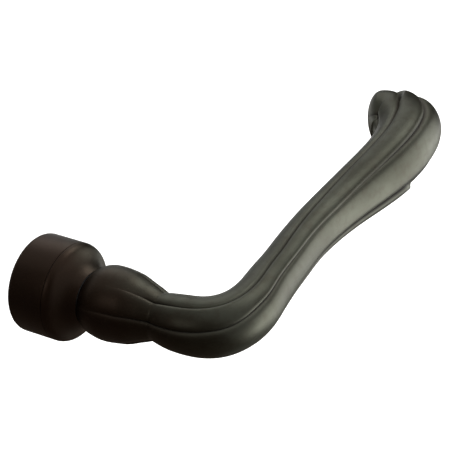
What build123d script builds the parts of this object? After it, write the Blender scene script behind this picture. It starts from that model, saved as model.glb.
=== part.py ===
from build123d import *
import math
import os

import numpy as np

# A lever handle in dark bronze: a round collar screwed to the window or door, and a lobed, leaf-like
# arm that turns in it against a return spring.
#
# Everything is drawn standing on the mounting surface: X runs along the arm, Y is up and Z is the
# distance out from the surface.  place() turns a finished piece into the part's own frame, where +Z is
# up, +X runs along the arm and -Y is out towards the user.  Lengths are in millimetres, angles in degrees.

# ---- driving dimensions -------------------------------------------------------------------------

# collar, fixed to the door or sash
COLLAR_REAR_R = 13.0        # radius of the collar just in front of its rear edge
COLLAR_FRONT_R = 13.2       # radius at the front edge of the sleeve
SLEEVE_LENGTH = 11.4        # rear face to the reveal line
SLEEVE_BORE_R = 11.7
EDGE_ROUND = 0.35           # small rounded edges of the turned pieces
REVEAL_WIDTH = 0.35         # fine groove between sleeve and dome
REVEAL_DEPTH = 0.45
DOME_FRONT = 18.4           # distance out of the dome's front face
DOME_FRONT_R = 8.35
DOME_WALL_R = 10.6          # radius of the hollow inside the dome
DOME_WALL_END = 12.4        # distance out where that hollow starts to narrow
DOME_SKIRT = 2.2            # how deep the dome's skirt goes into the sleeve
FIT_GAP = 0.04              # radial gap between pieces that are pushed together
RUNNING_GAP = 0.05          # radial clearance of a turning shaft

# base plate and its fixing screws
BASE_THICK = 4.0
BASE_HOLE_R = 6.6
FIXING_PITCH = 18.6
FIXING_HOLE_R = 1.6
COUNTERSINK_R = 2.25

# drive sleeve and the square spindle that it takes
SLEEVE_R = 6.0
SLEEVE_REAR = 1.0
SLEEVE_FRONT = 33.0
SPINDLE_SQUARE = 7.0
SOCKET_END = 25.0
FLATS = 11.0                # across the two flats that drive the cam plate

# bearings, cam and spring, from the rear to the front
CIRCLIP_AT = 4.35
CIRCLIP_THICK = 0.8
WAVE_AT = 5.25
WAVE_THICK = 0.3
WAVE_RISE = 0.3
WAVE_R = 7.9
BEARING_AT = 5.9
BEARING_THICK = 1.4
BUSH_R = 7.3
BUSH_FLANGE_R = 8.6
BUSH_FLANGE = 0.35
CAM_AT = 7.75
CAM_THICK = 1.2
CAM_R = 8.2
CAM_ARM_R = 11.0
CAM_ARM_HALF = 16.0         # half the angle of the cam's stop arm
CAM_TAB_HALF = 5.0          # half the angle of the tab that the spring pushes
CAM_TAB_TOP = 11.6
CAM_TAB_INNER_R = 9.2
CAM_TAB_OUTER_R = 10.4
LEVER_TRAVEL = 45.0         # how far the arm turns down from rest
STOP_PIN_R = 0.85
STOP_PIN_AT = 9.6           # radius of the circle that the stop pins stand on
STOP_SLACK = 0.4            # angle left between the cam arm and a stop
STOP_PIN_TOP = 12.2         # distance out of the taller pin's end
SPRING_R = 8.15             # mean radius of the coil
SPRING_WIRE = 0.9           # the wire is square
SPRING_LEG_R = 10.3         # how far out the two straight legs reach
SPRING_PITCH = 1.3
SPRING_TURNS = 2
SPRING_AT = 9.65
FRONT_BUSH_AT = 13.6
FRONT_FLANGE = 0.8

# screws and the slotted pin, all entered from below
SCREW_R = 2.0               # spindle screw, M4
SCREW_LENGTH = 5.6
SCREW_AT = 23.0             # distance out of the spindle screw
SCREW_TOP_R = 9.4           # how far below the axis its outer end stands
COLLAR_SCREW_R = 1.5        # collar screw, M3
COLLAR_SCREW_LENGTH = 4.0
HEX_KEY = 2.0               # across the flats of the sockets
HEX_DEPTH = 1.6
PIN_R = 1.5
PIN_AT = 29.0
PIN_TOP_R = 8.6
PIN_LENGTH = 11.8
PIN_WALL = 0.45
PIN_SLIT = 0.4
CLEAR_R = 12.0              # a radius outside the neck, where its holes start

# lever arm: stations along its centreline, each (along the arm, out from the surface, lift, half width,
# half height).  The half width lies in the plane of the bend, and the half height along the vertical.
SHOULDER = DOME_FRONT + 0.25
STATIONS = [
    (0.0, SHOULDER, 0.0, 8.1, 8.1),
    (0.0, 20.6, 0.0, 9.2, 9.2),
    (0.1, 25.0, 0.1, 9.9, 10.0),
    (0.4, 30.5, 0.1, 9.2, 9.4),
    (0.7, 35.8, 0.0, 7.6, 7.7),
    (0.9, 39.8, 0.0, 6.7, 6.8),
    (1.3, 46.5, -0.3, 7.4, 7.3),
    (4.4, 54.2, -0.5, 8.0, 7.6),
    (13.0, 58.3, -0.4, 7.6, 7.5),
    (24.0, 57.2, 0.0, 6.8, 6.8),
    (35.0, 55.2, 0.0, 6.5, 6.4),
    (46.5, 53.4, 0.0, 6.5, 6.4),
    (58.0, 52.6, 0.0, 6.8, 6.7),
    (69.5, 52.7, 0.0, 7.4, 7.3),
    (81.0, 53.2, 0.0, 8.2, 8.1),
    (93.0, 53.6, 0.2, 8.9, 8.7),
    (104.0, 52.4, 0.4, 9.5, 8.9),
    (111.8, 48.0, 0.5, 9.7, 9.0),
    (114.6, 42.0, 0.3, 8.6, 8.6),
    (113.6, 37.6, 0.2, 7.4, 7.8),
    (112.4, 35.0, 0.2, 4.8, 5.4),
]
WAIST = 5                   # the station where the bulb's petals end and the arm's lobes begin
# where the six creases lie round the arm, counted from the outside of the bend towards the top:
# (station, the six angles, depth of the creases as a share of the radius)
CREASES = [
    (0, (-160, -105, -50, 19, 60, 128), 0.0),
    (2, (-162, -106, -50, 19, 59, 125), 0.03),
    (WAIST, (-165, -108, -50, 19, 57, 120), 0.09),
    (7, (-170, -110, -50, 27, 73, 108), 0.06),
    (9, (-150, -95, -38, 46, 84, 140), 0.07),
    (12, (-145, -85, -25, 43, 94, 160), 0.08),
    (15, (-145, -85, -25, 43, 97, 160), 0.09),
    (17, (-160, -95, -36, 50, 80, 140), 0.10),
    (18, (-168, -100, -44, 35, 58, 130), 0.10),
    (20, (-172, -105, -50, 22, 46, 125), 0.12),
]
# how far each lobe's crown stands beyond the round outline, as a share of the radius; the lobes run from
# the inner lower one, underneath and over the broad outer one to the top
CROWNS = [
    (0, (0.0, 0.0, 0.0, 0.0, 0.0, 0.0)),
    (WAIST, (0.0, 0.0, 0.0, 0.0, 0.0, 0.0)),
    (9, (0.0, 0.03, -0.02, 0.0, 0.0, 0.0)),
    (15, (0.0, 0.05, -0.04, 0.0, 0.0, 0.0)),
    (16, (0.0, -0.04, -0.02, 0.0, 0.0, 0.0)),
    (18, (0.0, 0.0, 0.05, 0.06, 0.0, -0.06)),
    (20, (0.0, 0.0, 0.0, 0.05, 0.05, -0.06)),
]


# ---- helpers ------------------------------------------------------------------------------------

def place(piece):
    """Turn a piece from the drawing frame into the part's own frame."""
    return Plane.XZ * piece


def turned(outline):
    """Solid turned about the handle's axis from (radius, distance out) corners."""
    return revolve(Plane.XZ * make_face(Polyline(*outline, close=True)), Axis.Z)


def disc(radius, start, end):
    """Plain cylinder on the handle's axis, from one distance out to another."""
    return Pos(0, 0, start) * extrude(Circle(radius), end - start)


def polar(radius, angle):
    """Point in the plane of the door, the angle counted from the arm upwards."""
    return radius * math.cos(math.radians(angle)), radius * math.sin(math.radians(angle))


def wedge(radius, half_angle, start, end):
    """Sector about the upward direction."""
    far = 2 * radius
    left = polar(far, 90 + half_angle)
    right = polar(far, 90 - half_angle)
    triangle = make_face(Polyline((0, 0), right, left, close=True))
    return Pos(0, 0, start) * extrude(Circle(radius) & triangle, end - start)


def grub_screw(radius, length):
    """Set screw with a hexagon socket at the origin and its point along Z."""
    body = extrude(Circle(radius), length)
    body = chamfer(body.edges().sort_by(Axis.Z)[-1], 0.3)
    return body - extrude(RegularPolygon(HEX_KEY / 2, 6, major_radius=False), HEX_DEPTH)


def entered_from_below(start_r, out, piece):
    """Turn a piece drawn along Z so that it points up from below the axis, at a distance out."""
    return Pos(0, -start_r, out) * Rot(-90, 0, 0) * piece


# ---- collar -------------------------------------------------------------------------------------

def collar_sleeve():
    """Outer sleeve that widens slightly to the front, with a hole for its screw below."""
    shell = turned([
        (SLEEVE_BORE_R, 0),
        (COLLAR_REAR_R - EDGE_ROUND, 0),
        (COLLAR_REAR_R, EDGE_ROUND + 0.25),
        (COLLAR_FRONT_R, SLEEVE_LENGTH - EDGE_ROUND),
        (COLLAR_FRONT_R - EDGE_ROUND, SLEEVE_LENGTH),
        (SLEEVE_BORE_R, SLEEVE_LENGTH),
    ])
    return shell - collar_screw_hole(COLLAR_SCREW_R)


def collar_screw_hole(radius):
    """Radial hole at the bottom of the collar, half way through the base plate."""
    hole = extrude(Circle(radius), COLLAR_SCREW_LENGTH + 1.6)
    return entered_from_below(COLLAR_REAR_R + 1, BASE_THICK / 2, hole)


def dome_cap():
    """Domed front of the collar, with a skirt that goes into the sleeve and a seat for the bush."""
    start = SLEEVE_LENGTH + REVEAL_WIDTH
    band_r = COLLAR_FRONT_R - 0.1
    seat = FRONT_BUSH_AT + FRONT_FLANGE
    outside = [
        Line((COLLAR_FRONT_R - REVEAL_DEPTH, SLEEVE_LENGTH), (COLLAR_FRONT_R - REVEAL_DEPTH, start)),
        Line((COLLAR_FRONT_R - REVEAL_DEPTH, start), (band_r - 0.15, start)),
        ThreePointArc((band_r - 0.15, start), (band_r, start + 0.25), (band_r - 0.1, start + 0.55)),
        Spline((band_r - 0.1, start + 0.55), (12.2, 14.5), (10.9, 16.5), (9.6, 17.8),
               (DOME_FRONT_R, DOME_FRONT)),
    ]
    inside = Polyline(
        (DOME_FRONT_R, DOME_FRONT),
        (BUSH_R + FIT_GAP, DOME_FRONT),
        (BUSH_R + FIT_GAP, seat),
        (BUSH_FLANGE_R + 0.2, seat),
        (DOME_WALL_R, DOME_WALL_END),
        (DOME_WALL_R, SLEEVE_LENGTH - DOME_SKIRT),
        (SLEEVE_BORE_R - FIT_GAP, SLEEVE_LENGTH - DOME_SKIRT),
        (SLEEVE_BORE_R - FIT_GAP, SLEEVE_LENGTH),
        (COLLAR_FRONT_R - REVEAL_DEPTH, SLEEVE_LENGTH),
    )
    return revolve(Plane.XZ * make_face([*outside, inside]), Axis.Z)


def base_plate():
    """Disc that the two fixing screws hold to the door; the sleeve slips over it."""
    plate = disc(SLEEVE_BORE_R - FIT_GAP, 0, BASE_THICK) - disc(BASE_HOLE_R, 0, BASE_THICK)
    sink = COUNTERSINK_R - FIXING_HOLE_R
    for side in (-1, 1):
        at = side * FIXING_PITCH / 2
        plate -= Pos(at, 0, 0) * disc(FIXING_HOLE_R, 0, BASE_THICK)
        plate -= Pos(at, 0, BASE_THICK - sink / 2) * Cone(FIXING_HOLE_R, COUNTERSINK_R, sink)
    return plate - collar_screw_hole(COLLAR_SCREW_R)


def collar_screw():
    """Set screw that locks the sleeve to the base plate from below."""
    screw = grub_screw(COLLAR_SCREW_R - FIT_GAP, COLLAR_SCREW_LENGTH)
    return entered_from_below(COLLAR_REAR_R - 0.4, BASE_THICK / 2, screw)


def bearing_plate():
    """Steel plate staked into the sleeve: it closes the spring chamber and carries the stop pins."""
    plate = disc(SLEEVE_BORE_R - FIT_GAP, BEARING_AT, BEARING_AT + BEARING_THICK)
    plate -= disc(BUSH_R + FIT_GAP, BEARING_AT, BEARING_AT + BEARING_THICK)
    for angle in stop_angles():
        x, y = polar(STOP_PIN_AT, angle)
        plate -= Pos(x, y, 0) * disc(STOP_PIN_R + FIT_GAP, BEARING_AT, BEARING_AT + BEARING_THICK)
    return plate


def stop_angles():
    """Where the two stop pins stand: at rest, and at the end of the lever's travel."""
    pin_half = math.degrees(math.asin(STOP_PIN_R / STOP_PIN_AT))
    reach = CAM_ARM_HALF + pin_half + STOP_SLACK
    return 90 + reach, 90 - LEVER_TRAVEL - reach


def stop_pins():
    """Two pins in the bearing plate; the taller one also holds the spring's fixed leg."""
    rest, limit = stop_angles()
    tall = Pos(*polar(STOP_PIN_AT, rest), 0) * disc(STOP_PIN_R, BEARING_AT, STOP_PIN_TOP)
    short = Pos(*polar(STOP_PIN_AT, limit), 0) * disc(STOP_PIN_R, BEARING_AT, CAM_AT + CAM_THICK + 0.5)
    return Compound([tall, short])


def rear_bush():
    """Flanged bearing ring in the bearing plate."""
    return turned([
        (SLEEVE_R + RUNNING_GAP, BEARING_AT),
        (BUSH_R, BEARING_AT),
        (BUSH_R, BEARING_AT + BEARING_THICK),
        (BUSH_FLANGE_R, BEARING_AT + BEARING_THICK),
        (BUSH_FLANGE_R, BEARING_AT + BEARING_THICK + BUSH_FLANGE),
        (SLEEVE_R + RUNNING_GAP, BEARING_AT + BEARING_THICK + BUSH_FLANGE),
    ])


def front_bush():
    """Flanged bearing ring pushed into the dome from behind."""
    flange_end = FRONT_BUSH_AT + FRONT_FLANGE
    return turned([
        (SLEEVE_R + RUNNING_GAP, FRONT_BUSH_AT),
        (BUSH_FLANGE_R, FRONT_BUSH_AT),
        (BUSH_FLANGE_R, flange_end),
        (BUSH_R, flange_end),
        (BUSH_R, DOME_FRONT - 0.1),
        (SLEEVE_R + RUNNING_GAP, DOME_FRONT - 0.1),
    ])


def wave_washer():
    """Spring washer, bent into three waves, that takes up the end play."""
    inner = SLEEVE_R + 0.3
    washer = disc(WAVE_R, WAVE_AT, WAVE_AT + WAVE_THICK + WAVE_RISE)
    return washer - disc(inner, WAVE_AT, WAVE_AT + WAVE_THICK + WAVE_RISE)


def return_spring():
    """Torsion spring round the drive sleeve, with one leg on the tall pin and one on the cam's tab."""
    fixed_leg = stop_angles()[0] + 9.5
    moving_leg = 90 - CAM_TAB_HALF - 4.0
    sweep_turns = SPRING_TURNS + (fixed_leg - moving_leg) / 360
    coil = Helix(SPRING_PITCH, SPRING_PITCH * sweep_turns, SPRING_R)
    wire = Rectangle(SPRING_WIRE, SPRING_WIRE)
    spring = sweep(Plane(coil @ 0, x_dir=(1, 0, 0), z_dir=coil % 0) * wire, coil, is_frenet=True)
    leg = Rot(0, 90, 0) * extrude(wire, SPRING_LEG_R - SPRING_R)
    start = coil @ 0
    spring += Pos(start.X, start.Y, start.Z) * leg
    end = coil @ 1
    spring += Pos(end.X, end.Y, end.Z) * Rot(0, 0, 360 * sweep_turns) * leg
    return Pos(0, 0, SPRING_AT) * Rot(0, 0, moving_leg) * spring


# ---- turning pieces -----------------------------------------------------------------------------

def drive_sleeve():
    """Steel sleeve pressed into the arm's neck, with a square socket for the spindle at its rear."""
    sleeve = disc(SLEEVE_R, SLEEVE_REAR, SLEEVE_FRONT)
    sleeve = chamfer(sleeve.edges().filter_by(GeomType.CIRCLE), 0.4)
    socket = extrude(Rectangle(SPINDLE_SQUARE, SPINDLE_SQUARE), SOCKET_END - SLEEVE_REAR)
    sleeve -= Pos(0, 0, SLEEVE_REAR) * socket
    band = disc(SLEEVE_R + 1, SLEEVE_REAR, CAM_AT + CAM_THICK)
    sleeve -= band - extrude(Rectangle(30, FLATS), CAM_AT + CAM_THICK)
    clip_band = disc(SLEEVE_R + 1, CIRCLIP_AT - 0.05, CIRCLIP_AT + CIRCLIP_THICK + 0.05)
    sleeve -= clip_band - disc(SLEEVE_R - 0.5, 0, SOCKET_END)
    return sleeve - screw_hole() - pin_hole()


def screw_hole():
    """Threaded hole for the spindle screw, through the underside of the neck into the socket."""
    return entered_from_below(CLEAR_R, SCREW_AT, extrude(Circle(SCREW_R), CLEAR_R))


def pin_hole():
    """Blind hole for the pin that locks the sleeve in the neck."""
    depth = PIN_LENGTH + 0.3
    return entered_from_below(CLEAR_R, PIN_AT, extrude(Circle(PIN_R), CLEAR_R - PIN_TOP_R + depth))


def spindle_screw():
    """Set screw in the underside of the neck that clamps the spindle."""
    return entered_from_below(SCREW_TOP_R, SCREW_AT, grub_screw(SCREW_R - FIT_GAP, SCREW_LENGTH))


def sleeve_pin():
    """Slotted pin driven into the neck and the sleeve from below."""
    tube = extrude(Circle(PIN_R - FIT_GAP / 2) - Circle(PIN_R - PIN_WALL), PIN_LENGTH)
    slit = Pos(PIN_R, 0, 0) * extrude(Rectangle(2 * PIN_R, PIN_SLIT), PIN_LENGTH)
    return entered_from_below(PIN_TOP_R, PIN_AT, tube - slit)


def cam_plate():
    """Plate driven by the sleeve's flats, with the arm that meets the stops and the spring's tab."""
    bore = Circle(SLEEVE_R + FIT_GAP) & Rectangle(30, FLATS + 2 * FIT_GAP)
    plate = disc(CAM_R, CAM_AT, CAM_AT + CAM_THICK)
    plate += wedge(CAM_ARM_R, CAM_ARM_HALF, CAM_AT, CAM_AT + CAM_THICK)
    tab = wedge(CAM_TAB_OUTER_R, CAM_TAB_HALF, CAM_AT + CAM_THICK, CAM_TAB_TOP)
    tab -= disc(CAM_TAB_INNER_R, CAM_AT, CAM_TAB_TOP)
    return plate + tab - extrude(bore, CAM_AT + CAM_THICK)


def circlip():
    """Open retaining ring in the sleeve's groove, with two eyes for the pliers."""
    inner = SLEEVE_R - 0.5 + FIT_GAP
    ring = Circle(inner + 1.3) - Circle(inner)
    gap = Pos(0, inner + 1) * Rectangle(2.0, 4.0)
    clip = ring - gap
    for side in (-1, 1):
        eye = Pos(side * 1.9, inner + 1.1)
        clip += eye * Circle(1.1) - Circle(inner)
        clip -= eye * Circle(0.5)
    return Pos(0, 0, CIRCLIP_AT) * extrude(clip, CIRCLIP_THICK)


# ---- lever arm ----------------------------------------------------------------------------------

def crease_point(angle, half_width, half_height, share):
    """Point on an ellipse at an angle, moved in to a share of its radius."""
    turn = math.radians(angle)
    radius = share / math.hypot(math.cos(turn) / half_width, math.sin(turn) / half_height)
    return radius * math.cos(turn), radius * math.sin(turn)


def lobed_outline(half_width, half_height, angles, depth, crowns):
    """Closed outline of six bowed lobes that meet in creases."""
    lobes = []
    for first, last, crown in zip(angles, (*angles[1:], angles[0] + 360), crowns):
        start = crease_point(first, half_width, half_height, 1 - depth)
        middle = crease_point((first + last) / 2, half_width, half_height, 1 + crown)
        end = crease_point(last, half_width, half_height, 1 - depth)
        lobes.append(ThreePointArc(start, middle, end))
    return make_face(lobes)


def read_at(number, marks, rows):
    """Values between the rows of a table, read at a station number."""
    return [float(np.interp(number, marks, column)) for column in zip(*rows)]


def lobed_sections():
    """The arm's outlines, one at each station, square to a smooth centreline through them all."""
    centres = [Vector(x, lift, out) for x, out, lift, _, _ in STATIONS]
    line = Spline(*centres)
    crease_marks = [station for station, _, _ in CREASES]
    crown_marks = [station for station, _ in CROWNS]
    outlines = []
    for number, (centre, station) in enumerate(zip(centres, STATIONS)):
        along = line % line.param_at_point(centre)
        angles = read_at(number, crease_marks, [angles for _, angles, _ in CREASES])
        depth = float(np.interp(number, crease_marks, [depth for _, _, depth in CREASES]))
        crowns = read_at(number, crown_marks, [crowns for _, crowns in CROWNS])
        square_on = Plane(centre, x_dir=(-along.Z, 0, along.X), z_dir=-along)
        outlines.append(square_on * lobed_outline(station[3], station[4], angles, depth, crowns))
    return outlines


def lever_arm():
    """The cast arm: a petalled bulb behind a waist, then six twisting lobes out to a hooked tip."""
    sections = lobed_sections()
    neck = loft(sections[:WAIST + 1])
    arm = loft(sections[WAIST:])
    bore = disc(SLEEVE_R + FIT_GAP / 2, 0, SLEEVE_FRONT + 0.1)
    return neck + arm - bore - screw_hole() - pin_hole()


# ---- write the pieces ---------------------------------------------------------------------------

PIECES = {
    "collar_sleeve": collar_sleeve,
    "dome_cap": dome_cap,
    "base_plate": base_plate,
    "collar_screw": collar_screw,
    "bearing_plate": bearing_plate,
    "stop_pins": stop_pins,
    "rear_bush": rear_bush,
    "front_bush": front_bush,
    "return_spring": return_spring,
    "lever_arm": lever_arm,
    "drive_sleeve": drive_sleeve,
    "sleeve_pin": sleeve_pin,
    "spindle_screw": spindle_screw,
    "cam_plate": cam_plate,
    "circlip": circlip,
    "wave_washer": wave_washer,
}

os.makedirs("parts", exist_ok=True)
for name, make in PIECES.items():
    export_step(place(make()), f"parts/{name}.step")
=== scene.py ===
"""Looks of a lever handle in dark, oil-rubbed bronze: cast arm, turned collar, fittings and stage."""
import math

import bmesh
import bpy
import numpy as np
from mathutils import Matrix, Vector


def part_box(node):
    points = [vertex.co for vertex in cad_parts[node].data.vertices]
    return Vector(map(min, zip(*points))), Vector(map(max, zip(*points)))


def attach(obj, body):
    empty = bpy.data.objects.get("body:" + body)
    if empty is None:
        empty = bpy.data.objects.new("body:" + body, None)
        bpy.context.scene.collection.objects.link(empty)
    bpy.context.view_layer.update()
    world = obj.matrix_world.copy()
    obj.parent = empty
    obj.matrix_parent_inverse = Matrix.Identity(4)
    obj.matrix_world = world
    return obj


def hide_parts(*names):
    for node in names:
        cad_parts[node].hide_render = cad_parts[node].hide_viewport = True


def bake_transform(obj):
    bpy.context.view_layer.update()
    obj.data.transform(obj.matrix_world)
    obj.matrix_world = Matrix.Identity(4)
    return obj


bl_info = {
    "name": "Bronze lever handle",
    "version": (1, 0, 0),
    "blender": (4, 5, 0),
    "location": "3D View > Sidebar > Lever handle",
    "description": "Dresses the packed lever handle: cast arm, turned collar, springs, screws and stage",
    "category": "Object",
}

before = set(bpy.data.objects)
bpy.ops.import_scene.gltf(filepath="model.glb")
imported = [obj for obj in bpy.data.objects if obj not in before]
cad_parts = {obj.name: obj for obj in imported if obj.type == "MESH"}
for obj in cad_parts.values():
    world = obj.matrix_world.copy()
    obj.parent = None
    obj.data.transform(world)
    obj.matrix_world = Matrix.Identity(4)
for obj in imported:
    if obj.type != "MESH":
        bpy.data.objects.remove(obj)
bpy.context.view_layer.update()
MM = 0.001

# ---- sizes, in millimetres -----------------------------------------------------------------------


def out_span(node):
    """Where a CAD node starts and ends, counted out from the surface that the handle stands on."""
    low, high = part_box(node)
    return -high[1] / MM, -low[1] / MM


def half_width(node):
    """How far a CAD node reaches to one side of the handle's axis."""
    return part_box(node)[1][0] / MM


def bar_size(node):
    """Radius of a screw or pin that lies across the handle's axis, and how far out it lies."""
    low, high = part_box(node)
    return (high[0] - low[0]) / 2 / MM, -(low[1] + high[1]) / 2 / MM


# gaps: past the drive sleeve's end, round the drive sleeve, round what slides into the collar's sleeve, and
# round screws and pins
END_GAP = 0.1
BORE_GAP = 0.02
SLIDE_GAP = 0.05
BAR_GAP = 0.04

# the arm's rear face, its bore for the drive sleeve, and the ends of the cutters for its screw and pin
SHOULDER = out_span("lever_arm")[0]
BORE_END = out_span("drive_sleeve")[1] + END_GAP
BORE_R = half_width("drive_sleeve") + BORE_GAP
BORE_CHAMFER = 0.25
NECK_CUT_START = 13.0
NECK_CUT_END = BORE_R - 1.0

# the collar's sleeve, the reveal line in front of it, how round its edges are, and its screw's cutter
SLEEVE_END = out_span("collar_sleeve")[1]
SLEEVE_BORE = half_width("base_plate") + SLIDE_GAP
COLLAR_R = 13.4
SEAM = 0.1
SEAM_DEPTH = 0.6
REAR_ROUND = 1.2
SEAM_ROUND = 0.22
BORE_ROUND = 0.15
EDGE_ROUND = 0.1
COLLAR_CUT_START = COLLAR_R + 3
COLLAR_CUT_END = COLLAR_R - 6

# the dome: its edges, the hole and the flange's seat for the front bush, and the hollow and skirt behind them
DOME_REAR = SLEEVE_END + SEAM
DOME_FRONT = 18.4
DOME_BREAK = 0.1
BUSH_HOLE_R = 7.35
SEAT_R = 8.8
SEAT_OUT = 14.45
HOLLOW_R = 10.6
HOLLOW_FRONT = 12.4
SKIRT_REAR = 9.3
# the domed outside from the reveal line to the front face: radius and distance out
DOME_CROWN = (
    (COLLAR_R - 0.02, DOME_REAR + DOME_BREAK),
    (COLLAR_R - 0.12, DOME_REAR + 0.6),
    (12.75, 13.15),
    (11.5, 14.2),
    (10.0, 15.3),
    (8.8, 16.5),
    (8.0, 17.7),
    (BUSH_HOLE_R + 0.3, DOME_FRONT),
)
CROWN_POINTS = 60

# the return spring: its wire, where the wire's middle lies at either end, the coil, and its two legs
WIRE_R = 0.45
WIRE_BREAK = 0.08
SPRING_REAR = out_span("return_spring")[0] + WIRE_R
SPRING_FRONT = out_span("return_spring")[1] - WIRE_R
COIL_R = 8.15
COIL_TURNS = 2
COIL_POINTS = 300
LEG_R = 10.3
LEG_BEND = 0.8
BEND_POINTS = 10
MOVING_LEG = math.radians(81)
FIXED_LEG = math.radians(121)

# the wave washer: the space that it fills, inner and outer radius, thickness, edges and number of waves
WASHER_REAR, WASHER_FRONT = out_span("wave_washer")
WASHER_RADII = (6.3, 7.9)
WASHER_THICK = 0.3
WASHER_EDGE = 0.06
WASHER_WAVES = 3

# turned edges sharper than this aren't smoothed over
SHARP_ANGLE = math.radians(50)

# ---- the arm's form ------------------------------------------------------------------------------

# stations along the centreline: along the arm, out from the surface, lift, half width, half height
STATIONS = (
    (0.0, SHOULDER, 0.0, 7.5, 7.5),
    (0.0, 20.6, 0.0, 9.0, 9.1),
    (0.1, 25.0, 0.3, 9.9, 10.2),
    (0.4, 30.5, 0.3, 9.3, 9.7),
    (0.7, 35.8, 0.2, 7.7, 8.0),
    (0.9, 39.3, 0.0, 7.0, 7.1),
    (1.3, 46.5, -0.4, 7.7, 7.7),
    (4.4, 54.2, -0.6, 8.2, 7.9),
    (13.0, 58.0, -0.3, 7.6, 7.6),
    (24.0, 57.0, 0.1, 6.9, 6.9),
    (35.0, 55.2, 0.0, 6.5, 6.4),
    (46.5, 53.4, 0.0, 6.4, 6.4),
    (58.0, 52.6, 0.0, 6.7, 6.7),
    (69.5, 52.7, 0.0, 7.3, 7.2),
    (81.0, 53.2, 0.0, 8.1, 8.0),
    (93.0, 53.6, 0.3, 8.8, 8.7),
    (104.0, 52.4, 0.8, 9.3, 9.0),
    (111.9, 48.3, 0.7, 10.1, 9.2),
    (115.1, 42.0, 0.2, 10.5, 9.0),
    (112.7, 34.9, -0.1, 8.2, 8.4),
)
WAIST = 5
# where the six creases lie round the arm at some stations, in degrees from the outside of the bend towards
# the top, and how deep each is; a number between two stations lies on the way from one to the other
CREASES = (
    (0, (-160, -105, -50, 19, 61, 128), (0, 0, 0, 0, 0, 0)),
    (2, (-162, -106, -50, 19, 62, 125), (0.05, 0.05, 0.1, 0.2, 0.0, 0.05)),
    (3, (-163, -106, -50, 19, 64, 124), (0.2, 0.2, 0.3, 0.35, 0.08, 0.2)),
    (4, (-164, -107, -50, 19, 67, 122), (0.4, 0.4, 0.5, 0.5, 0.4, 0.4)),
    (WAIST, (-165, -108, -50, 19, 69, 120), (0.7, 0.7, 0.9, 0.6, 0.8, 0.7)),
    (7, (-170, -110, -50, 27, 75, 112), (0.5, 0.5, 0.7, 0.5, 0.4, 0.6)),
    (8, (-160, -102, -44, 42, 80, 128), (0.5, 0.5, 0.6, 0.7, 0.6, 0.6)),
    (9, (-150, -95, -38, 48, 84, 145), (0.6, 0.6, 0.6, 0.6, 0.8, 0.6)),
    (12, (-145, -85, -27, 46, 96, 160), (0.7, 0.7, 0.7, 0.4, 1.0, 0.7)),
    (13.6, (-145, -85, -27, 53, 107, 161), (0.7, 0.7, 0.9, 0.5, 1.1, 0.8)),
    (15, (-145, -85, -27, 56, 111, 162), (0.7, 0.7, 1.0, 0.8, 1.3, 0.8)),
    (16, (-150, -85, -30, 55, 113, 160), (0.5, 0.8, 0.8, 1.1, 1.5, 1.0)),
    (17, (-160, -95, -38, 52, 104, 152), (0.1, 0.8, 0.7, 1.2, 1.8, 1.6)),
    (17.55, (-166, -99, -46, 42, 86, 148), (0.0, 0.8, 0.7, 0.6, 2.3, 2.1)),
    (18, (-170, -102, -58, 18, 52, 145), (0.0, 0.8, 0.7, 0.5, 2.4, 2.0)),
    (18.5, (-172, -105, -75, -20, 20, 141), (0.0, 0.8, 0.7, 0.8, 2.0, 0.9)),
    (19, (-175, -108, -85, -40, -5, 139), (0.0, 0.8, 0.7, 0.8, 1.4, 0.0)),
)
# how far each lobe's crown stands above or below the round form, as a share of the radius; the lobes are the
# inner lower one, the one underneath, the broad outer one, the upper outer one, the top one and the inner
# upper one
CROWNS = (
    (0, (0.0, 0.0, 0.0, 0.0, 0.0, 0.0)),
    (WAIST, (0.0, 0.0, 0.0, 0.0, 0.0, 0.0)),
    (7, (0.0, 0.02, 0.0, 0.0, 0.0, 0.0)),
    (9, (0.0, 0.04, -0.08, 0.0, 0.0, 0.0)),
    (12, (0.0, 0.05, -0.12, 0.01, 0.0, 0.0)),
    (15, (0.0, 0.07, -0.13, 0.02, 0.0, 0.0)),
    (16, (0.0, 0.07, -0.10, 0.02, 0.0, 0.0)),
    (17, (0.0, 0.07, 0.02, 0.0, 0.0, 0.0)),
    (17.55, (0.0, 0.07, 0.06, -0.01, 0.0, 0.0)),
    (18, (0.0, 0.07, 0.07, 0.02, -0.02, 0.0)),
    (19, (0.0, 0.07, 0.04, 0.0, 0.0, 0.0)),
)
# the lobe underneath ends in a leaf: the station of its point, how far its sides fall back, its step down,
# and over how much of a station the step comes in
LEAF_LOBE = 1
LEAF_END = 15.05
LEAF_BACK = 0.5
LEAF_STEP = 0.17
LEAF_RAMP = 0.12
# stations, and how narrow the creases are there: narrow on the arm, and opening out at the tip
CREASE_POWER = ((0.0, 16.5, 18.5), (8.0, 7.0, 2.6))
# the dark line in a crease: how narrow it is, and the depth of crease at which it is darkest
RECESS_POWER = 10
RECESS_DEPTH = 0.6
# the groove round the neck's waist: its depth, and how far it fades out to either side
NECK_NICK = 0.55
NECK_NICK_REACH = 1.6
# length over which the arm rounds off at its tip, and what is left of the last section, squared
TIP_CAP = 4.0
TIP_LEFT = 0.0004
# coppery brown at the tip, partly worn through and partly painted shade at its end: where it starts and how
# soon it is full, as shares of the length, and each lobe's part
WEAR_AND_SHADE_START = 0.895
WEAR_AND_SHADE_FADE = 0.04
LOBE_WEAR_AND_SHADE = (0.1, 0.0, 1.0, 0.5, 0.1, 0.3)
# rings along the arm and over its rounded tip, points across each lobe, and the step that finds a direction
RINGS = 420
CAP_RINGS = 25
ROUND_LOBE = 24
NUDGE = 0.01


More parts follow.
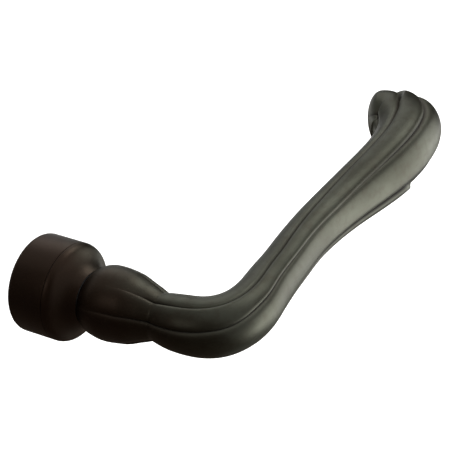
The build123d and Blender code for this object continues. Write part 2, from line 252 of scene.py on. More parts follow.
def spline_through(keys, values, at):
    """Natural cubic spline through values at keys, read at other places."""
    x = np.asarray(keys, float)
    y = np.asarray(values, float)
    step = np.diff(x)
    count = len(x)
    system = np.eye(count)
    right = np.zeros_like(y)
    for i in range(1, count - 1):
        system[i, i - 1:i + 2] = step[i - 1], 2 * (step[i - 1] + step[i]), step[i]
        right[i] = 6 * ((y[i + 1] - y[i]) / step[i] - (y[i] - y[i - 1]) / step[i - 1])
    bend = np.linalg.solve(system, right)
    i = np.clip(np.searchsorted(x, at) - 1, 0, count - 2)
    t = (at - x[i])[:, None]
    h = step[i][:, None]
    slope = (y[i + 1] - y[i]) / h - h * (2 * bend[i] + bend[i + 1]) / 6
    return y[i] + t * slope + t * t * bend[i] / 2 + t ** 3 * (bend[i + 1] - bend[i]) / (6 * h)


def ease_between(keys, values, at):
    """Smooth curve through keyed values that never swings past them."""
    x = np.asarray(keys, float)
    y = np.asarray(values, float).reshape(len(x), -1)
    rise = np.diff(y, axis=0) / np.diff(x)[:, None]
    slope = np.zeros_like(y)
    slope[0] = rise[0]
    slope[-1] = rise[-1]
    same_way = rise[:-1] * rise[1:] > 0
    total = np.where(same_way, rise[:-1] + rise[1:], 1)
    slope[1:-1] = np.where(same_way, 2 * rise[:-1] * rise[1:] / total, 0)
    i = np.clip(np.searchsorted(x, at) - 1, 0, len(x) - 2)
    h = (x[i + 1] - x[i])[:, None]
    t = np.clip((at - x[i])[:, None] / h, 0, 1)
    ahead = (3 - 2 * t) * t * t
    return (y[i] * (1 - ahead) + y[i + 1] * ahead
            + h * slope[i] * t * (1 - t) ** 2 - h * slope[i + 1] * t * t * (1 - t))


def ring_places(end):
    """Places of the rings: evenly spaced along the arm, and crowded together over its rounded tip."""
    body = np.linspace(0, end - TIP_CAP, RINGS)
    cap = end - TIP_CAP + TIP_CAP * np.sin(np.linspace(0, math.pi / 2, CAP_RINGS + 1)[1:])
    return np.concatenate([body, cap])


def centreline(keys, middles, along):
    """Points on the arm's centreline at places along it, and the line's direction there."""
    ahead = spline_through(keys, middles, np.minimum(along + NUDGE, keys[-1]))
    behind = spline_through(keys, middles, np.maximum(along - NUDGE, 0))
    tangent = ahead - behind
    tangent /= np.linalg.norm(tangent, axis=1)[:, None]
    return spline_through(keys, middles, along), tangent


def section_axes(tangent):
    """Directions square to the centreline: towards the outside of the bend, and towards the top."""
    outside = np.array([-tangent[1], tangent[0], 0.0])
    outside /= np.linalg.norm(outside)
    upward = np.cross(outside, tangent)
    upward *= np.sign(upward[2])
    return outside, upward


def lobed_section(station, half, creases, depths, crowns, power):
    """One section through the arm's lobes: the angle, radius and recess of each point round it."""
    # places across a lobe, from one crease (-1) to the next (1), closer together near the creases
    across = np.sin(np.linspace(-math.pi / 2, math.pi / 2, ROUND_LOBE + 1)[:-1])
    share = np.abs(across)
    bounds = np.append(creases, creases[0] + 360)
    turn = np.concatenate([(a + b) / 2 + across * (b - a) / 2 for a, b in zip(bounds[:-1], bounds[1:])])
    turn = np.radians(turn)
    radius = 1 / np.hypot(np.cos(turn) / half[0], np.sin(turn) / half[1])
    bulge = np.outer(crowns, 1 - share ** 2)
    past = np.clip((station - LEAF_END + LEAF_BACK * share ** 2) / LEAF_RAMP, 0, 1)
    bulge[LEAF_LOBE] -= past * LEAF_STEP * (1 - share ** 2)
    radius *= 1 + bulge.ravel()
    deep = np.append(depths, depths[0])
    groove = np.concatenate([np.where(across < 0, a, b) for a, b in zip(deep[:-1], deep[1:])])
    radius -= np.tile(share ** power, len(depths)) * groove
    recess = np.clip(np.tile(share ** RECESS_POWER, len(depths)) * groove / RECESS_DEPTH, 0, 1)
    return turn, radius, recess


def arm_rings():
    """Rings of points over the arm's skin, from shoulder to tip, with each point's recess and reach."""
    stations = np.array(STATIONS)
    middles = stations[:, :3]
    steps = np.linalg.norm(np.diff(middles, axis=0), axis=1)
    keys = np.concatenate([[0], np.cumsum(steps)])
    end = keys[-1]
    along = ring_places(end)
    number = np.interp(along, keys, np.arange(len(keys)))
    centre, tangent = centreline(keys, middles, along)
    half = ease_between(keys, stations[:, 3:], along)
    marks = [row[0] for row in CREASES]
    angles = ease_between(marks, [row[1] for row in CREASES], number)
    depths = ease_between(marks, [row[2] for row in CREASES], number)
    crowns = ease_between([row[0] for row in CROWNS], [row[1] for row in CROWNS], number)
    power = np.interp(number, *CREASE_POWER)
    into_cap = np.clip(along - (end - TIP_CAP), 0, None) / TIP_CAP
    closing = np.sqrt(np.clip(1 - into_cap ** 2, TIP_LEFT, 1))
    nick = NECK_NICK * np.exp(-np.abs(along - keys[WAIST]) / NECK_NICK_REACH)
    rings = []
    recess = []
    for k in range(len(along)):
        turn, radius, dark = lobed_section(number[k], half[k], angles[k], depths[k], crowns[k], power[k])
        radius = (radius - nick[k]) * closing[k]
        outside, upward = section_axes(tangent[k])
        spoke = np.cos(turn)[:, None] * outside + np.sin(turn)[:, None] * upward
        rings.append(centre[k] + radius[:, None] * spoke)
        recess.append(dark)
    reach = np.repeat(along[:, None] / end, len(rings[0]), axis=1)
    return np.array(rings), np.array(recess), reach


def to_frame(points):
    """(along, out, up) in millimetres to the part's frame in metres."""
    points = np.asarray(points, float)
    return np.stack([points[..., 0], -points[..., 1], points[..., 2]], -1) * MM


# ---- mesh helpers --------------------------------------------------------------------------------

def mesh_object(name, points, faces, smooth=True):
    """New object from points in metres and faces."""
    mesh = bpy.data.meshes.new(name)
    mesh.from_pydata([tuple(p) for p in points], [], faces)
    mesh.validate()
    mesh.update()
    for polygon in mesh.polygons:
        polygon.use_smooth = smooth
    made = bpy.data.objects.new(name, mesh)
    bpy.context.scene.collection.objects.link(made)
    return made


def stitch(ring_count, around, first_pole=None, last_pole=None):
    """Faces of a tube of rings, with a fan to a pole at either end."""
    faces = []
    for r in range(ring_count - 1):
        for k in range(around):
            a = r * around + k
            b = r * around + (k + 1) % around
            faces.append((a, b, b + around, a + around))
    for pole, ring in ((first_pole, 0), (last_pole, ring_count - 1)):
        if pole is None:
            continue
        for k in range(around):
            a = ring * around + k
            b = ring * around + (k + 1) % around
            faces.append((pole, b, a) if ring == 0 else (pole, a, b))
    return faces


def face_outwards(thing):
    """Turn all faces of a closed mesh outwards."""
    work = bmesh.new()
    work.from_mesh(thing.data)
    bmesh.ops.recalc_face_normals(work, faces=work.faces)
    work.to_mesh(thing.data)
    work.free()


def rounded(corners, steps=7):
    """Outline through (radius, out, rounding) corners, each rounded by its own amount."""
    spots = np.array([corner[:2] for corner in corners], float)
    outline = []
    for k, corner in enumerate(corners):
        here = spots[k]
        back = spots[k - 1] - here
        on = spots[(k + 1) % len(spots)] - here
        back /= np.linalg.norm(back)
        on /= np.linalg.norm(on)
        if corner[2] == 0:
            outline.append(here)
            continue
        half = math.acos(np.clip(back @ on, -1, 1)) / 2
        run = corner[2] / math.tan(half)
        middle = here + (back + on) / np.linalg.norm(back + on) * corner[2] / math.sin(half)
        first = here + back * run - middle
        last = here + on * run - middle
        sweep = math.acos(np.clip(first @ last / corner[2] ** 2, -1, 1))
        for t in np.linspace(0, 1, steps):
            arc = (math.sin((1 - t) * sweep) * first + math.sin(t * sweep) * last) / math.sin(sweep)
            outline.append(middle + arc)
    return np.array(outline)


def turned_mesh(name, outline, around=240):
    """Ring turned about the handle's axis from a closed outline of (radius, out) points."""
    turn = np.linspace(0, 2 * math.pi, around, endpoint=False)
    rings = [np.stack([r * np.cos(turn), np.full(around, out), r * np.sin(turn)], -1) for r, out in outline]
    faces = []
    for i in range(len(outline)):
        for k in range(around):
            j = (i + 1) % len(outline)
            m = (k + 1) % around
            faces.append((i * around + k, i * around + m, j * around + m, j * around + k))
    ring = mesh_object(name, to_frame(np.array(rings).reshape(-1, 3)), faces)
    face_outwards(ring)
    return ring


def radial_cutter(name, radius, start_r, end_r, out):
    """Round bar that comes up from below the axis, from one radius to another."""
    around = 64
    turn = np.linspace(0, 2 * math.pi, around, endpoint=False)
    rings = [np.stack([radius * np.cos(turn), out + radius * np.sin(turn), np.full(around, -r)], -1)
             for r in (start_r, end_r)]
    poles = [(0.0, out, -start_r), (0.0, out, -end_r)]
    points = np.vstack([*rings, poles])
    bar = mesh_object(name, to_frame(points), stitch(2, around, 2 * around, 2 * around + 1), smooth=False)
    face_outwards(bar)
    return bar


def cut(thing, *bars):
    """Cut bars out of a piece and remove them."""
    for bar in bars:
        knife = thing.modifiers.new("hole", "BOOLEAN")
        knife.operation = "DIFFERENCE"
        knife.solver = "EXACT"
        knife.object = bar
    settled = bpy.data.meshes.new_from_object(thing.evaluated_get(bpy.context.evaluated_depsgraph_get()))
    thing.modifiers.clear()
    thing.data = settled
    for bar in bars:
        bpy.data.objects.remove(bar)


def give_values(thing, name, values):
    """Store one number per vertex for the materials to read."""
    store = thing.data.attributes.new(name, "FLOAT", "POINT")
    store.data.foreach_set("value", np.asarray(values, np.float32).ravel())


def dress(thing, *materials):
    """Replace all material slots of an object."""
    thing.data.materials.clear()
    for material in materials:
        thing.data.materials.append(material)


# ---- shader expressions --------------------------------------------------------------------------

class Wire:
    """A node's output socket that can be used in arithmetic."""

    def __init__(self, shader, socket):
        self.shader = shader
        self.socket = socket

    def is_number(self):
        """Whether the socket carries a number, and not a vector or a colour."""
        return self.socket.type == "VALUE"

    def combine(self, operation, first, second):
        """Math node for numbers, Vector Math for vectors and colours."""
        if all(w.is_number() for w in (first, second) if isinstance(w, Wire)):
            return self.shader.node("ShaderNodeMath", {"operation": operation}, {0: first, 1: second})
        first, second = (w if isinstance(w, (Wire, tuple)) else (w, w, w) for w in (first, second))
        return self.shader.node("ShaderNodeVectorMath", {"operation": operation}, {0: first, 1: second})

    def __add__(self, other):
        return self.combine("ADD", self, other)

    def __radd__(self, other):
        return self.combine("ADD", other, self)

    def __sub__(self, other):
        return self.combine("SUBTRACT", self, other)

    def __rsub__(self, other):
        return self.combine("SUBTRACT", other, self)

    def __mul__(self, other):
        return self.combine("MULTIPLY", self, other)

    def __rmul__(self, other):
        return self.combine("MULTIPLY", other, self)

    def between(self, low, high):
        """Smooth step from 0 at low to 1 at high."""
        return self.shader.node(
            "ShaderNodeMapRange", {"interpolation_type": "SMOOTHSTEP"},
            {"Value": self, "From Min": low, "From Max": high})


class Shader:
    """A material whose nodes come from expressions."""

    def __init__(self, name):
        self.material = bpy.data.materials.new(name)
        self.material.use_nodes = True
        self.tree = self.material.node_tree
        self.tree.nodes.clear()

    def node(self, kind, settings=None, inputs=None, output=0):
        """Add a node: first its settings, then the values or wires of its sockets."""
        made = self.tree.nodes.new(kind)
        for name, value in (settings or {}).items():
            setattr(made, name, value)
        for name, value in (inputs or {}).items():
            self.feed(made.inputs[name], value)
        return Wire(self, made.outputs[output]) if made.outputs else None

    def feed(self, socket, value):
        """Link a wire to a socket, or set its own value."""
        if isinstance(value, Wire):
            self.tree.links.new(value.socket, socket)
        else:
            socket.default_value = value

    def place(self):
        """Position in the part's own frame, in metres."""
        return self.node("ShaderNodeTexCoord", output="Object")

    def noise(self, where, scale, detail=3.0, roughness=0.55):
        """Noise between 0 and 1."""
        return self.node("ShaderNodeTexNoise", {"noise_dimensions": "3D"},
                         {"Vector": where, "Scale": scale, "Detail": detail, "Roughness": roughness})

    def read(self, name):
        """A number stored on the mesh; 0 where the mesh has none."""
        return self.node("ShaderNodeAttribute", {"attribute_name": name}, output="Fac")

    def mix(self, mask, first, second):
        """Colour from first to second as the mask goes from 0 to 1."""
        first, second = (c if isinstance(c, Wire) else (*c, 1.0) for c in (first, second))
        return self.node("ShaderNodeMix", {"data_type": "RGBA"}, {0: mask, 6: first, 7: second}, output=2)

    def bump(self, height, strength, distance):
        """Normal from a height, for the Normal socket."""
        inputs = {"Strength": strength, "Distance": distance, "Height": height}
        return self.node("ShaderNodeBump", None, inputs)

    def finish(self, **sockets):
        """Principled surface; socket names are written with underscores."""
        named = {name.replace("_", " "): value for name, value in sockets.items()}
        surface = self.node("ShaderNodeBsdfPrincipled", None, named)
        self.node("ShaderNodeOutputMaterial", None, {"Surface": surface})
        return self.material


def dark_bronze(look):
    """Oil-rubbed bronze: olive along the arm, with painted shade that makes the collar and neck darker brown,
    and coppery brown at the tip, partly worn through and partly painted shade.
    """
    make = Shader("oil_rubbed_bronze")
    where = make.place()
    # how far a place is from the collar: its distance along the arm, and part of its distance out
    along = make.node("ShaderNodeSeparateXYZ", None, {0: where}, output="X")
    out = make.node("ShaderNodeSeparateXYZ", None, {0: where}, output="Y") * -0.6
    # clouds of about 20 mm, mottling of about 2 mm, and a fine grain
    cloud = make.noise(where, scale=55.0, detail=4.0)
    mottle = make.noise(where, scale=420.0, detail=5.0, roughness=0.6)
    grain = make.noise(where, scale=2600.0, detail=3.0, roughness=0.7)
    recess = make.read("recess")
    tip_wear_and_shade = make.read("tip_wear_and_shade")
    # from brown to olive over the neck and the elbow, with a ragged edge; the darker brown at the collar and
    # neck is painted shade
    olive = (along + out + (cloud - 0.5) * 0.04).between(-0.002, 0.036)
    # worn through in patches at the tip, and painted shade at the tip's end, both in coppery brown
    rubbed = (tip_wear_and_shade * (0.35 + mottle * 1.1)).between(0.35, 1.0)
    light = make.mix(cloud.between(0.35, 0.7), tuple(look.patina_dark), tuple(look.patina_light))
    # painted shade: the collar and neck take the darker brown in place of their shade
    patina = make.mix(olive, tuple(look.brown_patina_and_shade), light)
    patina = make.mix(mottle.between(0.45, 0.75) * 0.25, patina, tuple(look.brown_patina_and_shade))
    colour = make.mix(rubbed * 0.9, patina, tuple(look.copper_wear_and_shade))
    colour = make.mix(recess * 0.9, colour, tuple(look.recess))
    rough = look.roughness + (mottle - 0.5) * 0.10 + (grain - 0.5) * 0.06 + recess * 0.2 - rubbed * 0.05
    height = grain * 0.6 + mottle * 0.4
    return make.finish(
        Base_Color=colour, Metallic=1.0 - recess * 0.5, Roughness=rough,
        Normal=make.bump(height, 0.25, 0.00008))


def plated_steel():
    """Zinc-plated steel, slightly streaked."""
    make = Shader("plated_steel")
    where = make.place()
    streak = make.noise(where * (900.0, 120.0, 900.0), scale=1.0, detail=4.0)
    speck = make.noise(where, scale=2600.0, detail=2.0)
    colour = make.mix(streak, (0.46, 0.47, 0.50), (0.62, 0.63, 0.64))
    return make.finish(Base_Color=colour, Metallic=1.0, Roughness=0.30 + streak * 0.16,
                       Normal=make.bump(speck, 0.1, 0.00003))


def spring_steel():
    """Drawn and oiled spring wire and strip."""
    make = Shader("drawn_steel")
    where = make.place()
    blotch = make.noise(where, scale=700.0, detail=4.0)
    colour = make.mix(blotch, (0.20, 0.19, 0.185), (0.36, 0.34, 0.31))
    return make.finish(Base_Color=colour, Metallic=1.0, Roughness=0.26 + blotch * 0.18,
                       Normal=make.bump(blotch, 0.08, 0.00003))


def black_oxide():
    """Blackened set screws."""
    make = Shader("blackened_steel")
    where = make.place()
    blotch = make.noise(where, scale=1500.0, detail=3.0)
    colour = make.mix(blotch, (0.020, 0.020, 0.022), (0.055, 0.055, 0.058))
    return make.finish(Base_Color=colour, Metallic=0.9, Roughness=0.34 + blotch * 0.2,
                       Normal=make.bump(blotch, 0.1, 0.00003))


def bearing_plastic():
    """Black acetal."""
    make = Shader("black_acetal")
    where = make.place()
    cloud = make.noise(where, scale=300.0, detail=3.0)
    colour = make.mix(cloud, (0.020, 0.020, 0.021), (0.034, 0.034, 0.035))
    return make.finish(Base_Color=colour, Roughness=0.42 + cloud * 0.1,
                       Normal=make.bump(cloud, 0.05, 0.00005))


def pale_floor():
    """Plain pale paper."""
    make = Shader("pale_floor")
    where = make.place()
    fibre = make.noise(where, scale=90.0, detail=3.0)
    colour = make.mix(fibre, (0.90, 0.90, 0.89), (0.93, 0.93, 0.92))
    return make.finish(Base_Color=colour, Roughness=0.9)


def black_flag():
    """Matt black cloth."""
    make = Shader("black_flag")
    return make.finish(Base_Color=(0.030, 0.023, 0.018, 1.0), Roughness=1.0)


def grey_card():
    """Matt grey card."""
    make = Shader("grey_card")
    return make.finish(Base_Color=(0.09, 0.09, 0.08, 1.0), Roughness=1.0)


MADE = {}


def shared(maker, *args):
    """The material that a maker makes, made once."""
    if maker not in MADE:
        MADE[maker] = maker(*args)
    return MADE[maker]


# ---- what a user can change ----------------------------------------------------------------------

class HANDLE_PG_bronze(bpy.types.PropertyGroup):
    """Colours and finish of the bronze."""

    patina_dark: bpy.props.FloatVectorProperty(
        name="Dark patina", description="Colour of the darkest patina",
        subtype="COLOR", default=(0.078, 0.079, 0.060))
    patina_light: bpy.props.FloatVectorProperty(
        name="Light patina", description="Colour of the lighter patina",
        subtype="COLOR", default=(0.105, 0.108, 0.084))
    # colour of the brown mottling, and painted shade at the collar and neck
    brown_patina_and_shade: bpy.props.FloatVectorProperty(
        name="Brown patina", description="Colour of the brown mottling, and of the patina at the collar",
        subtype="COLOR", default=(0.062, 0.042, 0.031))
    # coppery brown where the tip is worn through, and painted shade at the tip's end
    copper_wear_and_shade: bpy.props.FloatVectorProperty(
        name="Copper", description="Colour where the patina is rubbed through",
        subtype="COLOR", default=(0.085, 0.052, 0.032))
    recess: bpy.props.FloatVectorProperty(
        name="Recess", description="Colour deep in the creases",
        subtype="COLOR", default=(0.012, 0.010, 0.008))
    roughness: bpy.props.FloatProperty(
        name="Roughness", description="Roughness of the satin finish", min=0.0, max=1.0, default=0.42)


class HANDLE_PG_stage(bpy.types.PropertyGroup):
    """Floor and camera."""

    floor_drop: bpy.props.FloatProperty(
        name="Floor drop", description="How far the floor lies below the handle's axis",
        unit="LENGTH", default=0.42)
    side_angle: bpy.props.FloatProperty(
        name="Side angle", description="How far the camera stands round to the left", subtype="ANGLE",
        default=math.radians(53.0))
    height_angle: bpy.props.FloatProperty(
        name="Height angle", description="How far the camera looks down", subtype="ANGLE",
        default=math.radians(31.4))
    tilt: bpy.props.FloatProperty(
        name="Tilt", description="Roll of the camera", subtype="ANGLE", default=math.radians(-6.0))
    distance: bpy.props.FloatProperty(
        name="Distance", description="From the camera to what it looks at", unit="LENGTH", default=0.558)
    lens: bpy.props.FloatProperty(
        name="Lens", description="Focal length in millimetres on a 36 mm sensor", default=163.84)


# ---- one operator per piece ----------------------------------------------------------------------

class HANDLE_OT_arm(bpy.types.Operator):
    """Cast arm with its petalled neck, twisting lobes and curled tip"""

    bl_idname = "handle.arm"
    bl_label = "Cast arm"

    def execute(self, context):
        rings, recess, reach = arm_rings()
        bore = self.bore_rings(rings[0])
        everything = np.array([*bore, *rings])
        count, around = everything.shape[:2]
        poles = np.array([[0.0, BORE_END, 0.0], rings[-1].mean(axis=0)])
        points = np.vstack([everything.reshape(-1, 3), poles])
        faces = stitch(count, around, count * around, count * around + 1)
        arm = mesh_object("cast_arm", to_frame(points), faces)
        face_outwards(arm)
        # one value per point: the bore's rings, the skin's rings, and the poles at the bore's end and the tip
        inside = np.zeros(len(bore) * around)
        # coppery brown at the tip: partly worn through, partly painted shade
        tip = np.clip((reach - WEAR_AND_SHADE_START) / WEAR_AND_SHADE_FADE, 0, 1)
        tip_wear_and_shade = (1 - recess) * tip * np.repeat(LOBE_WEAR_AND_SHADE, ROUND_LOBE)
        give_values(arm, "recess", np.concatenate([inside, recess.ravel(), [0, 0]]))
        give_values(arm, "tip_wear_and_shade", np.concatenate([inside, tip_wear_and_shade.ravel(), [0, 1]]))
        bars = []
        for node in ("spindle_screw", "sleeve_pin"):
            radius, out = bar_size(node)
            bars.append(radial_cutter(node + "_bar", radius + BAR_GAP, NECK_CUT_START, NECK_CUT_END, out))
        cut(arm, *bars)
        dress(arm, shared(dark_bronze, context.scene.handle_bronze))
        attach(arm, "lever")
        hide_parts("lever_arm")
        return {"FINISHED"}

    def bore_rings(self, first):
        """Rings from the bore's blind end to the chamfer at its mouth, in line with the skin's first ring."""
        turn = np.arctan2(first[:, 2], -first[:, 0])
        outline = ((BORE_R, BORE_END), (BORE_R, SHOULDER + BORE_CHAMFER), (BORE_R + BORE_CHAMFER, SHOULDER))
        return [np.stack([-radius * np.cos(turn), np.full(len(turn), out), radius * np.sin(turn)], -1)
                for radius, out in outline]


class HANDLE_OT_collar(bpy.types.Operator):
    """Turned sleeve and dome of the collar"""

    bl_idname = "handle.collar"
    bl_label = "Collar"

    def execute(self, context):
        bronze = shared(dark_bronze, context.scene.handle_bronze)
        sleeve = turned_mesh("turned_sleeve", rounded([
            (SLEEVE_BORE, 0.0, BORE_ROUND), (COLLAR_R, 0.0, REAR_ROUND),
            (COLLAR_R, SLEEVE_END, SEAM_ROUND), (SLEEVE_BORE, SLEEVE_END, EDGE_ROUND)]))
        radius, out = bar_size("collar_screw")
        cut(sleeve, radial_cutter("screw_bar", radius + BAR_GAP, COLLAR_CUT_START, COLLAR_CUT_END, out))
        dome = turned_mesh("turned_dome", self.dome_outline())
        for piece, node in ((sleeve, "collar_sleeve"), (dome, "dome_cap")):
            piece.data.set_sharp_from_angle(angle=SHARP_ANGLE)
            dress(piece, bronze)
            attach(piece, "collar")
            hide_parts(node)
        return {"FINISHED"}

    def dome_outline(self):
        """The domed outside, then the hole, the seat, the hollow, the skirt and the reveal line."""
        steps = np.linspace(0, len(DOME_CROWN) - 1, CROWN_POINTS)
        crown = spline_through(np.arange(len(DOME_CROWN)), DOME_CROWN, steps)
        skirt_r = SLEEVE_BORE - SLIDE_GAP
        seam_r = COLLAR_R - SEAM_DEPTH
        rest = rounded([
            (BUSH_HOLE_R, DOME_FRONT, EDGE_ROUND), (BUSH_HOLE_R, SEAT_OUT, 0), (SEAT_R, SEAT_OUT, 0),
            (HOLLOW_R, HOLLOW_FRONT, 0), (HOLLOW_R, SKIRT_REAR, EDGE_ROUND),
            (skirt_r, SKIRT_REAR, EDGE_ROUND), (skirt_r, SLEEVE_END, 0), (seam_r, SLEEVE_END, 0),
            (seam_r, DOME_REAR, 0), (COLLAR_R - DOME_BREAK, DOME_REAR, 0)])
        return np.vstack([crown, rest])


class HANDLE_OT_springs(bpy.types.Operator):
    """Return spring wound from round wire, and the waved washer"""

    bl_idname = "handle.springs"
    bl_label = "Springs"

    def execute(self, context):
        drawn = shared(spring_steel)
        coil = self.wound_wire(self.spring_path())
        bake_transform(coil)
        washer = self.waved_ring()
        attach(washer, "lever")
        for piece, node in ((coil, "return_spring"), (washer, "wave_washer")):
            dress(piece, drawn)
            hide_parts(node)
        return {"FINISHED"}

    def spring_path(self):
        """Middle of the wire: a straight leg, a bend, the coil, a bend and the other leg."""
        bend = LEG_BEND / COIL_R
        whole = 2 * math.pi * COIL_TURNS + FIXED_LEG - MOVING_LEG
        turns = np.linspace(bend, whole - bend, COIL_POINTS)
        coil = [self.spot(COIL_R, turn, whole) for turn in turns]
        ease = np.linspace(0, 1, BEND_POINTS)[:, None]
        ends = []
        for corner, inner in ((0.0, bend), (whole, whole - bend)):
            outer = self.spot(COIL_R + LEG_BEND, corner, whole)
            arc = ((1 - ease) ** 2 * outer + 2 * ease * (1 - ease) * self.spot(COIL_R, corner, whole)
                   + ease ** 2 * self.spot(COIL_R, inner, whole))
            ends.append(np.vstack([self.spot(LEG_R, corner, whole), arc[:-1]]))
        return np.vstack([ends[0], coil, ends[1][::-1]])

    def spot(self, radius, turn, whole):
        """Place on the spring at a radius and at an angle past its first leg."""
        angle = MOVING_LEG + turn
        out = SPRING_REAR + (SPRING_FRONT - SPRING_REAR) * turn / whole
        return np.array([radius * math.cos(angle), out, radius * math.sin(angle)])

    def wound_wire(self, path, around=20):
        """Round wire along the path, with its ends slightly broken."""
        along = np.gradient(path, axis=0)
        along /= np.linalg.norm(along, axis=1)[:, None]
        across = np.cross(along, (0.0, 1.0, 0.0))
        across /= np.linalg.norm(across, axis=1)[:, None]
        rise = np.cross(across, along)
        turn = np.linspace(0, 2 * math.pi, around, endpoint=False)
        broken = WIRE_R - WIRE_BREAK
        thick = np.concatenate([[broken], np.full(len(path), WIRE_R), [broken]])
        path = np.vstack([path[0], path[0] + along[0] * WIRE_BREAK, path[1:-1],
                          path[-1] - along[-1] * WIRE_BREAK, path[-1]])
        across, rise = (np.vstack([v[0], v, v[-1]]) for v in (across, rise))
        rings = path[:, None] + thick[:, None, None] * (
            np.cos(turn)[None, :, None] * across[:, None] + np.sin(turn)[None, :, None] * rise[:, None])
        count = len(path)
        points = np.vstack([rings.reshape(-1, 3), path[0], path[-1]])
        faces = stitch(count, around, count * around, count * around + 1)
        coil = mesh_object("wound_spring", to_frame(points), faces)
        face_outwards(coil)
        return coil

    def waved_ring(self):
        """Thin ring whose faces rise and fall in waves."""
        inner, outer = WASHER_RADII
        middle = (WASHER_REAR + WASHER_FRONT) / 2
        half = WASHER_THICK / 2
        ring = turned_mesh("waved_ring", rounded([
            (inner, middle - half, WASHER_EDGE), (outer, middle - half, WASHER_EDGE),
            (outer, middle + half, WASHER_EDGE), (inner, middle + half, WASHER_EDGE)], steps=4))
        height = ((WASHER_FRONT - WASHER_REAR) / 2 - half) * MM
        for point in ring.data.vertices:
            point.co.y -= height * math.cos(WASHER_WAVES * math.atan2(point.co.z, point.co.x))
        ring.data.set_sharp_from_angle(angle=SHARP_ANGLE)
        return ring


class HANDLE_OT_fittings(bpy.types.Operator):
    """Finish of the plates, bushes, pins and screws"""

    bl_idname = "handle.fittings"
    bl_label = "Fittings"

    def execute(self, context):
        plated = shared(plated_steel)
        black = shared(black_oxide)
        drawn = shared(spring_steel)
        plastic = shared(bearing_plastic)
        for node in ("base_plate", "bearing_plate", "cam_plate", "drive_sleeve", "stop_pins"):
            dress(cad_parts[node], plated)
        for node in ("collar_screw", "spindle_screw"):
            dress(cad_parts[node], black)
        for node in ("sleeve_pin", "circlip"):
            dress(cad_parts[node], drawn)
        for node in ("front_bush", "rear_bush"):
            dress(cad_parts[node], plastic)
        return {"FINISHED"}


# ---- stage, in metres ----------------------------------------------------------------------------

FLOOR_REACH = 3.0
WORLD_LIGHT = 0.35
MIDDLE = (0.045, -0.035, 0.0)
# soft lights: name, place, what it shines at, size, watts, and whether the bronze mirrors it
LAMPS = (
    ("overhead", (0.45, -0.10, 1.10), MIDDLE, (1.1, 1.1), 60.0, False),
    ("low", (0.46, -0.42, -0.15), MIDDLE, (0.62, 0.55), 2.15, True),
    ("rear", (0.55, 0.38, 0.42), MIDDLE, (0.5, 0.4), 0.5, True),
    ("strip", (-0.23, 0.02, 0.175), (0.0, -0.012, 0.0), (0.025, 0.12), 0.022, True),
    ("upper", (0.62, -0.14, 0.64), MIDDLE, (0.4, 0.4), 1.1, True),
)
UPRIGHT = (0.0, math.pi / 2, 0.0)
LYING = (0.0, 0.0, 0.0)
# cards that give the bronze something dark to mirror: name, material, place, size and turn
CARDS = (
    ("flag_left", black_flag, (-0.32, 0.0, 0.30), (1.04, 1.7), UPRIGHT),
    ("flag_right", black_flag, (0.75, 0.05, 0.04), (0.56, 0.7), UPRIGHT),
    ("flag_below", black_flag, (-0.37, -0.05, -0.20), (0.80, 1.6), LYING),
    ("flag_behind", black_flag, (0.28, 0.26, -0.27), (0.78, 0.56), LYING),
    ("grey_card", grey_card, (0.50, -0.18, -0.41), (0.90, 0.80), LYING),
)
# what the camera looks at, and how far its aim is then moved to the right and up in the picture
CAMERA_AIM = (0.0465, -0.03255, 0.0)
AIM_SHIFT = (-0.00326, 0.00019)
SENSOR_WIDTH = 36.0
NEAREST_SEEN = 0.01


def soft_light(name, place, aim, size, power, mirrored):
    """Rectangular soft box that shines from a place towards an aim and stays out of the picture."""
    data = bpy.data.lights.new(name, "AREA")
    data.shape = "RECTANGLE"
    data.size, data.size_y = size
    data.energy = power
    lamp = bpy.data.objects.new(name, data)
    lamp.location = place
    lamp.rotation_euler = (Vector(aim) - Vector(place)).to_track_quat("-Z", "Y").to_euler()
    lamp.visible_camera = False
    lamp.visible_glossy = mirrored
    bpy.context.scene.collection.objects.link(lamp)


def flat_sheet(name, wide, long, lift=0.0):
    """Rectangle about the origin, reaching wide and long to either side."""
    corners = [(-wide, -long, lift), (wide, -long, lift), (wide, long, lift), (-wide, long, lift)]
    return mesh_object(name, corners, [(0, 1, 2, 3)], smooth=False)


def stage_card(name, material, place, size, turn):
    """Card that the camera doesn't see and that casts no shadow."""
    card = flat_sheet(name, size[0] / 2, size[1] / 2)
    card.location = place
    card.rotation_euler = turn
    card.visible_camera = False
    card.visible_shadow = False
    dress(card, shared(material))


def stage_camera(scene, look):
    """Camera to the left of the handle and above it, looking down at it."""
    side, height, tilt = look.side_angle, look.height_angle, look.tilt
    back = Vector((-math.sin(side) * math.cos(height), -math.cos(side) * math.cos(height), math.sin(height)))
    level = Vector((math.cos(side), -math.sin(side), 0.0))
    rise = back.cross(level)
    right = level * math.cos(tilt) + rise * math.sin(tilt)
    up = rise * math.cos(tilt) - level * math.sin(tilt)
    aim = Vector(CAMERA_AIM) + right * AIM_SHIFT[0] + up * AIM_SHIFT[1]
    data = bpy.data.cameras.new("camera")
    data.sensor_width = SENSOR_WIDTH
    data.lens = look.lens
    data.clip_start = NEAREST_SEEN
    camera = bpy.data.objects.new("camera", data)
    axes = Matrix((right, up, back)).transposed().to_4x4()
    camera.matrix_world = Matrix.Translation(aim + back * look.distance) @ axes
    scene.collection.objects.link(camera)
    scene.camera = camera
    scene.view_settings.view_transform = "Standard"


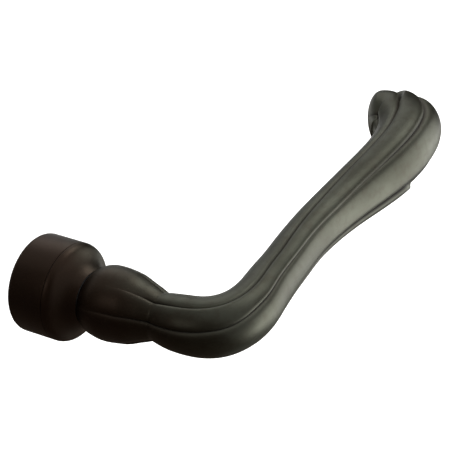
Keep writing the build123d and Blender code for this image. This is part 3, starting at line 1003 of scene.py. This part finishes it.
class HANDLE_OT_stage(bpy.types.Operator):
    """Pale floor, soft lights, cards and the camera"""

    bl_idname = "handle.stage"
    bl_label = "Stage"

    def execute(self, context):
        look = context.scene.handle_stage
        floor = flat_sheet("floor", FLOOR_REACH, FLOOR_REACH, -look.floor_drop)
        dress(floor, shared(pale_floor))
        world = bpy.data.worlds.new("studio")
        world.use_nodes = True
        background = world.node_tree.nodes["Background"]
        background.inputs["Color"].default_value = (1.0, 1.0, 1.0, 1.0)
        background.inputs["Strength"].default_value = WORLD_LIGHT
        context.scene.world = world
        for lamp in LAMPS:
            soft_light(*lamp)
        for card in CARDS:
            stage_card(*card)
        stage_camera(context.scene, look)
        return {"FINISHED"}


class HANDLE_PT_panel(bpy.types.Panel):
    """Lists the handle's pieces and settings"""

    bl_idname = "HANDLE_PT_panel"
    bl_label = "Lever handle"
    bl_space_type = "VIEW_3D"
    bl_region_type = "UI"
    bl_category = "Lever handle"

    def draw(self, context):
        for group in (context.scene.handle_bronze, context.scene.handle_stage):
            for name in group.__annotations__:
                self.layout.prop(group, name)
        for step in STEPS:
            self.layout.operator(step.bl_idname)


STEPS = (HANDLE_OT_stage, HANDLE_OT_arm, HANDLE_OT_collar, HANDLE_OT_springs, HANDLE_OT_fittings)
GROUPS = (HANDLE_PG_bronze, HANDLE_PG_stage)
CLASSES = (*GROUPS, *STEPS, HANDLE_PT_panel)


def register():
    """Add the handle's classes and settings to Blender."""
    for group in CLASSES:
        bpy.utils.register_class(group)
    bpy.types.Scene.handle_bronze = bpy.props.PointerProperty(type=HANDLE_PG_bronze)
    bpy.types.Scene.handle_stage = bpy.props.PointerProperty(type=HANDLE_PG_stage)


def unregister():
    """Take the handle's settings and classes away again."""
    del bpy.types.Scene.handle_stage
    del bpy.types.Scene.handle_bronze
    for group in reversed(CLASSES):
        bpy.utils.unregister_class(group)


def main():
    """Make the whole handle."""
    register()
    bpy.ops.handle.stage()
    bpy.ops.handle.arm()
    bpy.ops.handle.collar()
    bpy.ops.handle.springs()
    bpy.ops.handle.fittings()


if __name__ == "__main__":
    main()
